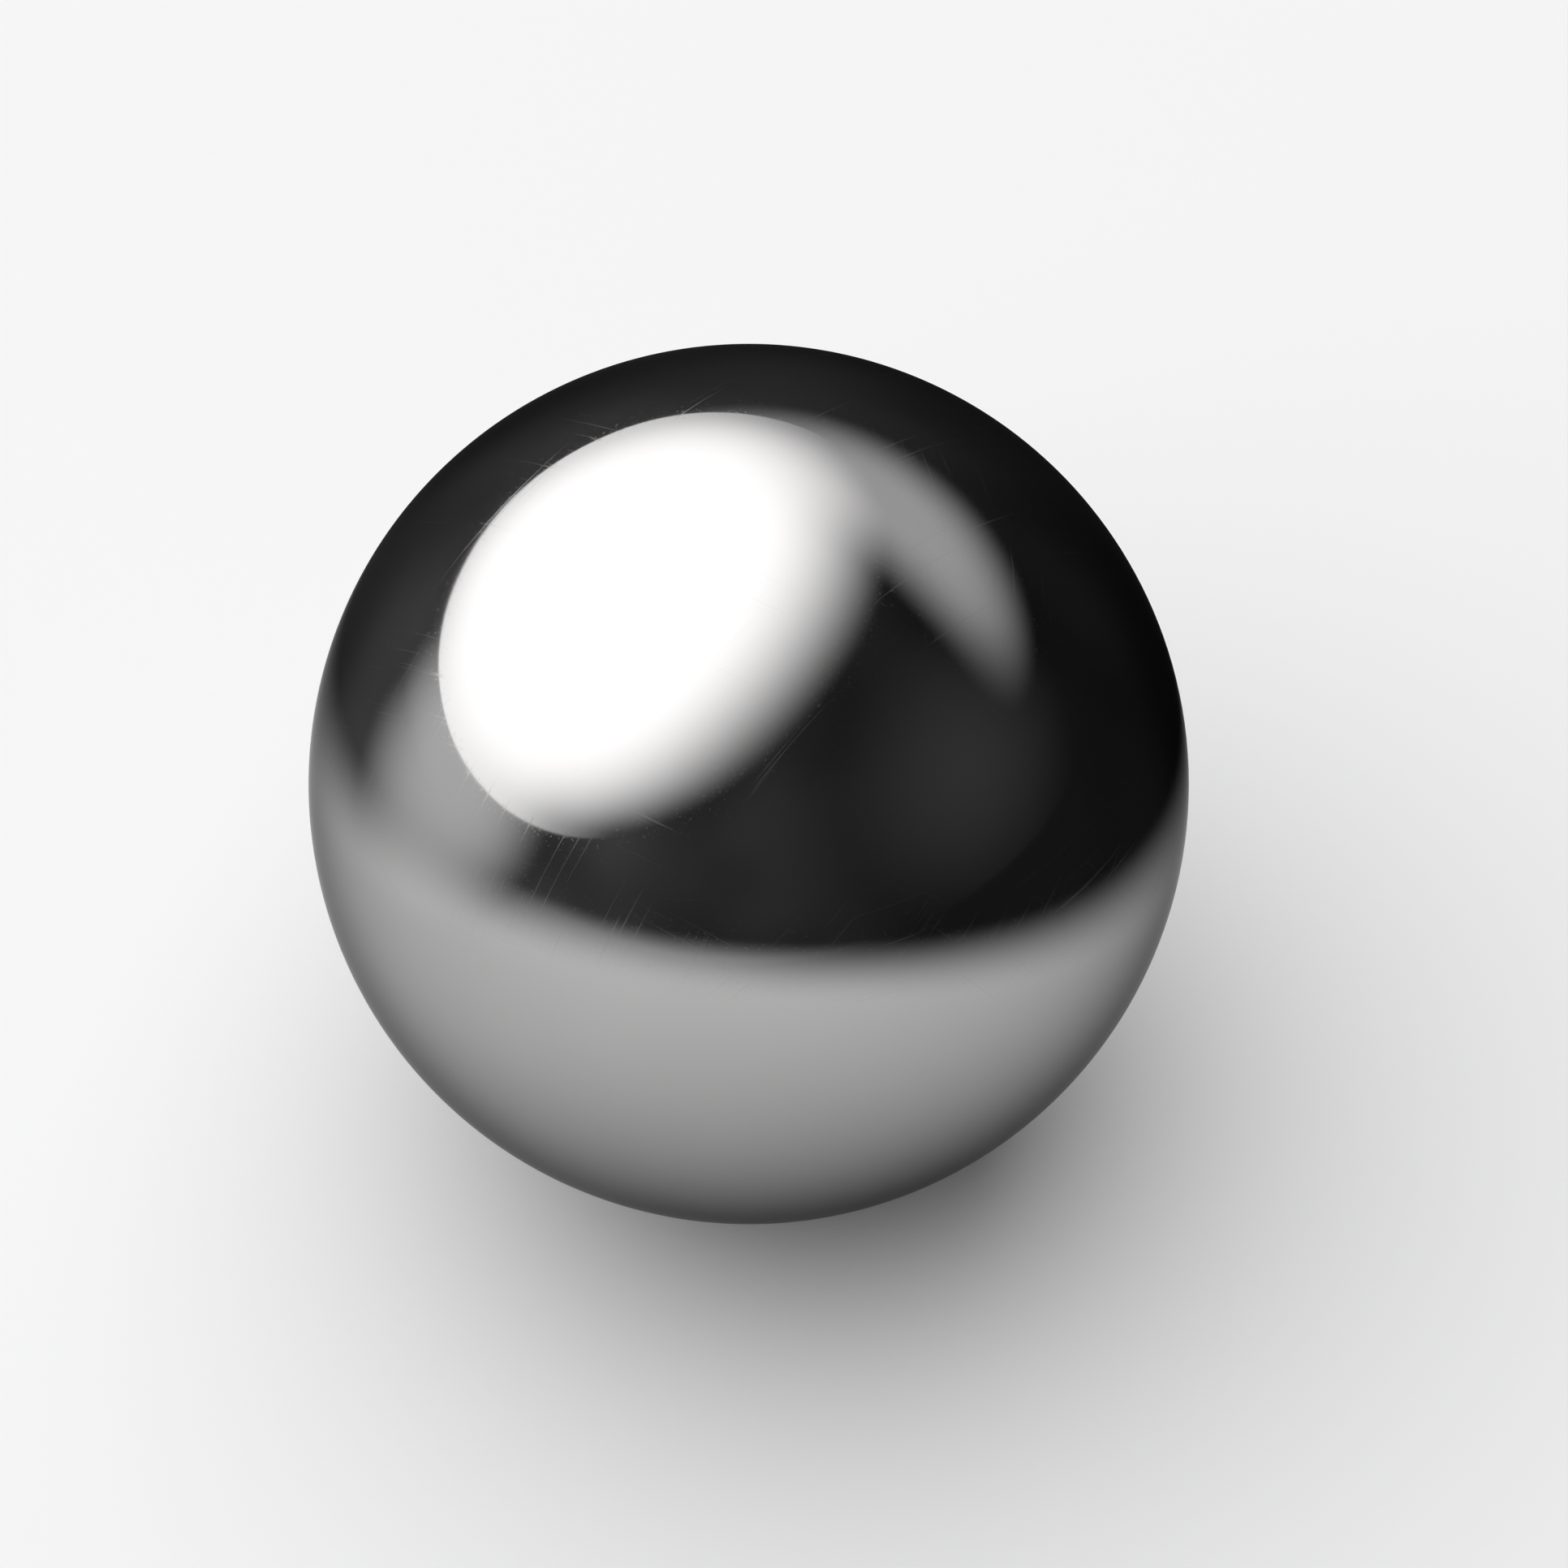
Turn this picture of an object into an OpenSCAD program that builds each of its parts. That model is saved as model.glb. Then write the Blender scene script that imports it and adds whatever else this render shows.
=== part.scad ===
// Steel ball: one solid sphere of stainless steel, ground and lapped to a mirror finish.
// It has no flat, bore, seam or parting line. The origin is its centre, and +Z is up.

/* [Ball] */
// Diameter of the ball, in millimetres
ball_d = 4; // [1:0.1:25]

/* [Hidden] */
// Steps round the ball in the preview
$fn = 96;

// The whole ball, in the grey of polished steel
module ball() {
    color("silver")
        sphere(d = ball_d);
}

ball();
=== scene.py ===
"""Looks of the steel ball: one mirror-polished ball lying on a pale studio floor."""
import math

import bmesh
import bpy
from mathutils import Matrix, Vector


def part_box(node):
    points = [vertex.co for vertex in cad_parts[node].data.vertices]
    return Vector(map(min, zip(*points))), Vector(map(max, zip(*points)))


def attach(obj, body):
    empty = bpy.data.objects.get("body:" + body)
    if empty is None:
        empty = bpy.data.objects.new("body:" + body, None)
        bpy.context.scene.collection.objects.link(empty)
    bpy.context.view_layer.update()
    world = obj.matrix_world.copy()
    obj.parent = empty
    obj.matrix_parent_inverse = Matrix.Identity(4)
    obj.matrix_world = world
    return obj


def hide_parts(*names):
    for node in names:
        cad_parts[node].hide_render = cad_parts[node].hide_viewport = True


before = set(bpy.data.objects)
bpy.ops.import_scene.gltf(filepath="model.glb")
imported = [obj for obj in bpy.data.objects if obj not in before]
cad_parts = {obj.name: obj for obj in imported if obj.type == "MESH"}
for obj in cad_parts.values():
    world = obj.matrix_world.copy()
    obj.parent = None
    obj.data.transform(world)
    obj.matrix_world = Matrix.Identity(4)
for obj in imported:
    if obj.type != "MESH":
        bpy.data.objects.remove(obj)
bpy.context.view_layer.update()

MM = 0.001

# Ball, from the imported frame
BALL_LOW, BALL_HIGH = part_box("ball")
BALL_R = (BALL_HIGH.z - BALL_LOW.z) / 2
BALL_CENTRE = Vector((0.0, 0.0, (BALL_HIGH.z + BALL_LOW.z) / 2))
FACE_QUADS = 64            # quads along each edge of the six faces that the ball is blown up from
MAP_NAME = "OFBake"        # under which the export looks for the ball's map
MAP_COLUMNS = 3            # of faces in that map
MAP_ROWS = 2
MAP_GAP = 0.01             # empty strip round each face, as a share of the map
SAME_POINT = 1e-5          # share of the radius within which the points of a round shape are joined

# Steel. Sizes are in mm, and a threshold gives the noise where an effect begins and where it is full
STEEL = (0.62, 0.612, 0.61)
STEEL_DEEP = (0.575, 0.567, 0.565)
TONE_SIZE = 0.9            # of the patches that lean towards STEEL_DEEP
TONE_SHARE = 0.6           # how far they lean at most
RIM_TINT = (0.45, 0.45, 0.45)
WAVE_SIZE = 0.9
WAVE_HEIGHT = 0.003
HAZE_SIZE = 1.3
HAZE_THRESHOLD = (0.4, 0.72)
HAZE_ROUGHNESS = (0.04, 0.075)
PIT_SIZE = 0.012
PIT_THRESHOLD = (0.64, 0.78)
PIT_ROUGHNESS = 0.14
HAIRLINE_SETS = 5
HAIRLINE_TURN = (57, 101, 39)    # degrees round X, Y and Z from one set to the next
HAIRLINE_WIDTH = 0.009
HAIRLINE_LENGTH = 0.5
HAIRLINE_THRESHOLD = (0.70, 0.80)
HAIRLINE_BAND = (0.75, 0.4)      # heights on a set's axis where it is gone and full, in radii
HAIRLINE_ROUGHNESS = 0.17

# Floor, and the far distance that it fades into
FLOOR_Z = BALL_LOW.z
FLOOR_R = 300 * MM
FLOOR_COLOUR = (0.945, 0.945, 0.948)
BACKGROUND = (0.95, 0.95, 0.953)
FADE = (40 * MM, 140 * MM)       # distances where the fading begins and ends
AMBIENT = 0.17             # strength of the fill light

# Black cloth round the set, seen only in the steel, whose glow is painted reflection: painted light
# makes it lighter to the left and in a spot low there. It leaves a pool of floor open below the ball:
# the directions whose product with POOL_TILT is low
TENT_R = 700 * MM
TENT_RISE = 0.004 * MM     # of its flat bottom over the floor
TENT_PAINTED_LIGHT_LEFT = 0.055          # tone of the painted light on the cloth
TENT_PAINTED_LIGHT_RIGHT = 0.008
PAINTED_FOLD_SIZE = 0.7            # of the soft folds that are painted shade and light on the cloth, as a share of their distance from the ball
PAINTED_FOLD_THRESHOLD = (0.3, 0.7)
PAINTED_FOLD_SHADE_AND_LIGHT = (0.65, 1.35)  # painted shade in a fold's trough and painted light on its crest, as shares of the cloth's tone
PAINTED_SPOT_AT = (184, 11)        # azimuth and elevation of the painted light spot, in degrees
PAINTED_SPOT_REACH = 32            # degrees
PAINTED_SPOT_TONE = 0.57
POOL_TILT = (0.09, 0.28, 1.0)
POOL_EDGE = (-0.41, -0.19)       # products where the pool is fully open and where it has closed
POOL_RIM = 0.15            # share of straight down that counts as the pool's edge
POOL_CLEAR_PAINTED_SHADE = (0.76, 0.32)  # share that the cloth lets through at that edge and under the ball: a painted shade that dims the steel's reflection of the floor, more towards the bottom

# Lamps and painted highlights. Azimuth, elevation and roll are in degrees, seen from the ball. Only the
# softbox lights the floor;
# its front and the two other fronts are glowing cards seen only in the steel, painted highlights. A
# front is even out to the share dims_from of its half sizes, given at -Y and at +Y. Its edge keeps the
# share rim of its tone at -Y and ever less towards +Y, down to none at RIM_ENDS
SOFTBOX = dict(azimuth=161, elevation=65, roll=-10, distance=180 * MM, half=(319 * MM, 240 * MM),
               tone=1.75, dims_from=(0.77, 0.0), rim=0.74)
SOFTBOX_LIGHT = 0.72       # of its tone, in its even light on the floor
RIM_ENDS = 0.15            # as a share of the front's half size along Y
STRIP_PAINTED_HIGHLIGHT = dict(azimuth=58, elevation=41, roll=-89, distance=400 * MM, half=(166 * MM, 547 * MM),
             tone=0.49, dims_from=(0.17, 0.17), rim=0.0)
BOUNCE_PAINTED_REFLECTION = dict(azimuth=-22, elevation=26, roll=0, distance=300 * MM, half=(250 * MM, 210 * MM),
              tone=0.045, dims_from=(0.0, 0.0), rim=0.0)

# Camera
VIEW_ELEVATION = 45
LENS = 135
SENSOR = 36
BALL_SHARE = 0.56          # of the frame's width
SHIFT_RIGHT = 0.08         # of the ball's radius, to leave room for the shadow
CLIP_START = 0.1 * MM
CLIP_END = 2 * FLOOR_R


def new_object(name, data):
    thing = bpy.data.objects.new(name, data)
    bpy.context.scene.collection.objects.link(thing)
    return thing


def mesh_from(bm, name):
    mesh = bpy.data.meshes.new(name)
    bm.to_mesh(mesh)
    bm.free()
    return mesh


def unit(azimuth, elevation):
    """Direction at an azimuth round +Z from +X and an elevation, in degrees."""
    a, e = math.radians(azimuth), math.radians(elevation)
    return Vector((math.cos(e) * math.cos(a), math.cos(e) * math.sin(a), math.sin(e)))


# Ball


def cube_faces():
    """Outward direction and the two edge directions of each face of a cube."""
    for axis in range(3):
        for sign in (1, -1):
            out = Vector((0, 0, 0))
            out[axis] = sign
            along = Vector((0, 0, 0))
            along[(axis + 1) % 3] = sign
            yield out, along, out.cross(along)


def ball_mesh(radius, centre, quads):
    """A ball blown up from a cube's grid, with its six faces side by side in its map."""
    bm = bmesh.new()
    uv = bm.loops.layers.uv.new(MAP_NAME)
    steps = [math.tan((2 * i / quads - 1) * math.pi / 4) for i in range(quads + 1)]
    size = Vector((1 / MAP_COLUMNS - 2 * MAP_GAP, 1 / MAP_ROWS - 2 * MAP_GAP))
    for number, (out, along, up) in enumerate(cube_faces()):
        row, column = divmod(number, MAP_COLUMNS)
        corner = Vector((column / MAP_COLUMNS + MAP_GAP, row / MAP_ROWS + MAP_GAP))
        rows = [[bm.verts.new(centre + (out + a * along + b * up).normalized() * radius)
                 for a in steps] for b in steps]
        for j in range(quads):
            for i in range(quads):
                corners = ((i, j), (i + 1, j), (i + 1, j + 1), (i, j + 1))
                face = bm.faces.new([rows[b][a] for a, b in corners])
                face.smooth = True
                for loop, (a, b) in zip(face.loops, corners):
                    loop[uv].uv = (corner.x + size.x * a / quads, corner.y + size.y * b / quads)
    bmesh.ops.remove_doubles(bm, verts=bm.verts, dist=radius * SAME_POINT)
    return mesh_from(bm, "polished_ball")


# Materials


class Nodes:
    """The nodes of one material or world, with short calls to add and link them."""

    def __init__(self, owner):
        owner.use_nodes = True
        self.tree = owner.node_tree
        self.tree.nodes.clear()

    def add(self, kind, inputs=None, **settings):
        node = self.tree.nodes.new("ShaderNode" + kind)
        for key, value in settings.items():
            setattr(node, key, value)
        for key, value in (inputs or {}).items():
            if isinstance(value, bpy.types.NodeSocket):
                self.tree.links.new(value, node.inputs[key])
            else:
                node.inputs[key].default_value = value
        return node

    def maths(self, operation, a, b=0.0):
        return self.add("Math", {0: a, 1: b}, operation=operation).outputs[0]

    def vector(self, operation, a, b):
        node = self.add("VectorMath", {0: a, 1: b}, operation=operation)
        return node.outputs["Value" if operation == "DOT_PRODUCT" else "Vector"]

    def length(self, a):
        return self.add("VectorMath", {0: a}, operation="LENGTH").outputs["Value"]

    def remap(self, value, low, high, to_low=0.0, to_high=1.0, smooth=False):
        limits = {"Value": value, "From Min": low, "From Max": high, "To Min": to_low, "To Max": to_high}
        kind = "SMOOTHSTEP" if smooth else "LINEAR"
        return self.add("MapRange", limits, interpolation_type=kind).outputs["Result"]

    def noise(self, place, size, detail=2.0):
        """Noise whose features are about size across, in the units of place."""
        inputs = {"Vector": place, "Scale": 1 / size, "Detail": detail}
        return self.add("TexNoise", inputs).outputs["Fac"]

    def seen(self):
        """1 for what the eye, metal and glass see, and 0 for light that falls on matt things."""
        path = self.add("LightPath").outputs
        either = self.maths("MAXIMUM", path["Is Camera Ray"], path["Is Glossy Ray"])
        return self.maths("MAXIMUM", either, path["Is Transmission Ray"])

    def mix(self, share, first, second):
        return self.add("MixShader", {0: share, 1: first, 2: second}).outputs[0]

    def finish(self, shader, kind="OutputMaterial"):
        self.add(kind, {"Surface": shader})


def hairlines(nodes, place, number):
    """One set of fine curved scratches, which run round one axis and fade out towards its poles."""
    angles = [math.radians((number + 0.5) * step) for step in HAIRLINE_TURN]
    length = HAIRLINE_LENGTH * (1 + number / HAIRLINE_SETS)
    sizes = (HAIRLINE_WIDTH, length, length)
    stretched = nodes.add("Mapping", {"Vector": place, "Rotation": angles, "Scale": sizes},
                          vector_type="TEXTURE").outputs[0]
    axis = Matrix.Rotation(angles[2], 3, "Z") @ Matrix.Rotation(angles[1], 3, "Y") @ Vector((1, 0, 0))
    height = nodes.maths("ABSOLUTE", nodes.vector("DOT_PRODUCT", place, axis))
    band = nodes.remap(height, *(share * BALL_R / MM for share in HAIRLINE_BAND), smooth=True)
    line = nodes.remap(nodes.noise(stretched, 1.0, detail=0.0), *HAIRLINE_THRESHOLD)
    return nodes.maths("MULTIPLY", line, band)


def polished_steel():
    """Steel lapped to a clean mirror, with the faint hairlines, pits and haze of tumbling."""
    material = bpy.data.materials.new("polished_steel")
    nodes = Nodes(material)
    metres = nodes.add("TexCoord").outputs["Object"]
    place = nodes.add("VectorMath", {0: metres, "Scale": 1 / MM}, operation="SCALE").outputs[0]

    lines = hairlines(nodes, place, 0)
    for number in range(1, HAIRLINE_SETS):
        lines = nodes.maths("MAXIMUM", lines, hairlines(nodes, place, number))
    scratched = nodes.maths("MULTIPLY", lines, HAIRLINE_ROUGHNESS)

    pits = nodes.noise(place, PIT_SIZE, detail=0.0)
    pitted = nodes.remap(pits, *PIT_THRESHOLD, 0.0, PIT_ROUGHNESS)
    haze = nodes.remap(nodes.noise(place, HAZE_SIZE), *HAZE_THRESHOLD, *HAZE_ROUGHNESS, smooth=True)
    rough = nodes.maths("MAXIMUM", haze, nodes.maths("MAXIMUM", pitted, scratched))

    tone = nodes.maths("MULTIPLY", nodes.noise(place, TONE_SIZE), TONE_SHARE)
    colour = nodes.add("Mix", {"Factor": tone, "A": (*STEEL, 1), "B": (*STEEL_DEEP, 1)},
                       data_type="RGBA").outputs["Result"]

    waves = nodes.noise(place, WAVE_SIZE, detail=1.0)
    bump = nodes.add("Bump", {"Height": waves, "Distance": WAVE_HEIGHT * MM}).outputs["Normal"]

    shader = nodes.add("BsdfPrincipled", {"Base Color": colour, "Metallic": 1.0, "Roughness": rough,
                                          "Specular Tint": (*RIM_TINT, 1), "Normal": bump})
    nodes.finish(shader.outputs[0])
    return material


def floor_card():
    """Plain matt card, which fades far away into the background's own tone."""
    material = bpy.data.materials.new("floor_card")
    nodes = Nodes(material)
    card = nodes.add("BsdfDiffuse", {"Color": (*FLOOR_COLOUR, 1)}).outputs[0]
    far = nodes.add("Emission", {"Color": (*BACKGROUND, 1), "Strength": 1.0}).outputs[0]
    away = nodes.length(nodes.add("TexCoord").outputs["Object"])
    fade = nodes.maths("MULTIPLY", nodes.remap(away, *FADE, smooth=True), nodes.seen())
    nodes.finish(nodes.mix(fade, card, far))
    material.cycles.emission_sampling = "NONE"
    return material


def painted_reflection_cloth():
    """Black cloth seen only in the steel, with painted light that makes it lighter to the left and in
    one spot, painted shade and light of soft folds, and a pool of floor open below the ball.
    """
    material = bpy.data.materials.new("painted_reflection_cloth")
    nodes = Nodes(material)
    from_ball = nodes.vector("SUBTRACT", nodes.add("TexCoord").outputs["Object"], (0, 0, BALL_R))
    way = nodes.add("VectorMath", {0: from_ball}, operation="NORMALIZE").outputs[0]
    # painted light: the cloth glows lighter to the left
    right = nodes.vector("DOT_PRODUCT", way, (1, 0, 0))
    side = nodes.remap(right, -1, 1, TENT_PAINTED_LIGHT_LEFT, TENT_PAINTED_LIGHT_RIGHT, smooth=True)
    # painted shade and light of soft folds on the cloth
    noise = nodes.noise(way, PAINTED_FOLD_SIZE, detail=1.0)
    painted_folds = nodes.remap(noise, *PAINTED_FOLD_THRESHOLD, *PAINTED_FOLD_SHADE_AND_LIGHT, smooth=True)
    plain = nodes.maths("MULTIPLY", side, painted_folds)
    # painted light: a lighter spot low on the left of the cloth
    near_painted_spot = nodes.vector("DOT_PRODUCT", way, unit(*PAINTED_SPOT_AT))
    painted_spot = nodes.remap(near_painted_spot, math.cos(math.radians(PAINTED_SPOT_REACH)), 1, 0, PAINTED_SPOT_TONE, smooth=True)
    tone = nodes.maths("ADD", plain, painted_spot)
    painted_glow = nodes.add("Emission", {"Color": (1, 1, 1, 1), "Strength": tone}).outputs[0]
    clear = nodes.add("BsdfTransparent").outputs[0]
    pool = nodes.remap(nodes.vector("DOT_PRODUCT", way, POOL_TILT), *POOL_EDGE, 1, 0, smooth=True)
    # painted shade: the floor's reflection in the steel is dimmed more towards straight down
    through_painted_shade = nodes.remap(nodes.vector("DOT_PRODUCT", way, (0, 0, -1)), POOL_RIM, 1, *POOL_CLEAR_PAINTED_SHADE)
    nodes.finish(nodes.mix(nodes.maths("MULTIPLY", pool, through_painted_shade), painted_glow, clear))
    material.cycles.emission_sampling = "NONE"
    return material


def painted_highlight_cloth(name, lamp):
    """A card seen only in the steel that glows as a painted highlight for a lamp's front, and dims
    towards its rim.
    """
    material = bpy.data.materials.new(name)
    nodes = Nodes(material)
    share = nodes.vector("DIVIDE", nodes.add("TexCoord").outputs["Object"], (*lamp["half"], 1))
    side = nodes.add("SeparateXYZ", {0: share}).outputs["Y"]
    dims_from = nodes.remap(side, -1, 1, *lamp["dims_from"])
    at_rim = nodes.remap(side, -1, RIM_ENDS, lamp["rim"], 0.0, smooth=True)
    left = nodes.remap(nodes.length(share), dims_from, 1, 1, at_rim, smooth=True)
    # painted highlight, seen only in the steel
    glow = nodes.add("Emission", {"Color": (1, 1, 1, 1), "Strength": lamp["tone"]}).outputs[0]
    clear = nodes.add("BsdfTransparent").outputs[0]
    nodes.finish(nodes.mix(left, clear, glow))
    material.cycles.emission_sampling = "NONE"
    return material


# Stage


def ellipse(name, half, segments=128):
    """A flat ellipse with the given half sizes, facing +Z."""
    bm = bmesh.new()
    bmesh.ops.create_circle(bm, cap_ends=True, radius=1, segments=segments)
    for vert in bm.verts:
        vert.co = (vert.co.x * half[0], vert.co.y * half[1], 0)
    return mesh_from(bm, name)


def dome(name, radius, rings=24, segments=96):
    """Half a ball over a flat disc, round the origin."""
    bm = bmesh.new()
    arc = [math.pi / 2 * i / rings for i in range(rings + 1)]
    profile = [(0, 0)] + [(radius * math.cos(a), radius * math.sin(a)) for a in arc]
    verts = [bm.verts.new((r, 0, h)) for r, h in profile]
    edges = [bm.edges.new(pair) for pair in zip(verts, verts[1:])]
    bmesh.ops.spin(bm, geom=verts + edges, cent=(0, 0, 0), axis=(0, 0, 1), angle=2 * math.pi,
                   steps=segments, use_merge=True)
    bmesh.ops.remove_doubles(bm, verts=bm.verts, dist=radius * SAME_POINT)
    return mesh_from(bm, name)


def only_in_steel(thing):
    """Leaves a thing of the set visible in reflections alone, where it neither lights nor shades."""
    thing.visible_camera = False
    thing.visible_diffuse = False
    thing.visible_transmission = False
    thing.visible_shadow = False


def facing_ball(lamp):
    """The place of a lamp that faces the ball: its -Z points at the ball."""
    out = unit(lamp["azimuth"], lamp["elevation"])
    side = Vector((0, 0, 1)).cross(out).normalized()
    roll = Matrix.Rotation(math.radians(lamp["roll"]), 3, "Z")
    turned = Matrix((side, out.cross(side), out)).transposed() @ roll
    return Matrix.Translation(BALL_CENTRE + out * lamp["distance"]) @ turned.to_4x4()


def lay_floor():
    floor = new_object("floor", ellipse("floor", (FLOOR_R, FLOOR_R)))
    floor.location.z = FLOOR_Z
    floor.data.materials.append(floor_card())


def hang_tent():
    tent = new_object("tent", dome("tent", TENT_R))
    tent.location.z = FLOOR_Z + TENT_RISE
    tent.data.materials.append(painted_reflection_cloth())
    only_in_steel(tent)


def hang_painted_highlight(name, lamp):
    front = new_object(name, ellipse(name, lamp["half"]))
    front.matrix_world = facing_ball(lamp)
    front.data.materials.append(painted_highlight_cloth(name, lamp))
    only_in_steel(front)


def hang_light(name, lamp):
    """The even light that a lamp gives the floor. The steel shows its front instead, a glowing card of
    its own: a painted highlight.
    """
    light = bpy.data.lights.new(name, "AREA")
    light.shape = "ELLIPSE"
    light.size, light.size_y = (2 * half for half in lamp["half"])
    area = math.pi * math.prod(lamp["half"])
    light.energy = SOFTBOX_LIGHT * lamp["tone"] * math.pi * area
    holder = new_object(name, light)
    holder.matrix_world = facing_ball(lamp)
    holder.visible_camera = False
    holder.visible_glossy = False


def light_world():
    """The background's tone to the eye, metal and glass, and a dim fill light for the rest."""
    world = bpy.data.worlds.new("world")
    bpy.context.scene.world = world
    nodes = Nodes(world)
    fill = nodes.add("Background", {"Color": (1, 1, 1, 1), "Strength": AMBIENT}).outputs[0]
    pale = nodes.add("Background", {"Color": (*BACKGROUND, 1), "Strength": 1.0}).outputs[0]
    nodes.finish(nodes.mix(nodes.seen(), fill, pale), "OutputWorld")


def place_camera():
    camera = bpy.data.cameras.new("camera")
    camera.lens = LENS
    camera.sensor_width = SENSOR
    camera.clip_start = CLIP_START
    camera.clip_end = CLIP_END
    back = unit(-90, VIEW_ELEVATION)
    distance = 2 * BALL_R / BALL_SHARE * LENS / SENSOR
    holder = new_object("camera", camera)
    holder.location = BALL_CENTRE + Vector((SHIFT_RIGHT * BALL_R, 0, 0)) + back * distance
    holder.rotation_euler = back.to_track_quat("Z", "Y").to_euler()
    bpy.context.scene.camera = holder


def build():
    place_camera()
    ball = new_object("polished_ball", ball_mesh(BALL_R, BALL_CENTRE, FACE_QUADS))
    ball.data.materials.append(polished_steel())
    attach(ball, "root")
    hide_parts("ball")

    lay_floor()
    hang_tent()
    hang_light("softbox", SOFTBOX)
    # painted highlights and reflection: glowing cards seen only in the steel
    hang_painted_highlight("softbox_painted_highlight", SOFTBOX)
    hang_painted_highlight("strip_painted_highlight", STRIP_PAINTED_HIGHLIGHT)
    hang_painted_highlight("bounce_painted_reflection", BOUNCE_PAINTED_REFLECTION)
    light_world()
    bpy.context.scene.view_settings.view_transform = "Standard"


build()
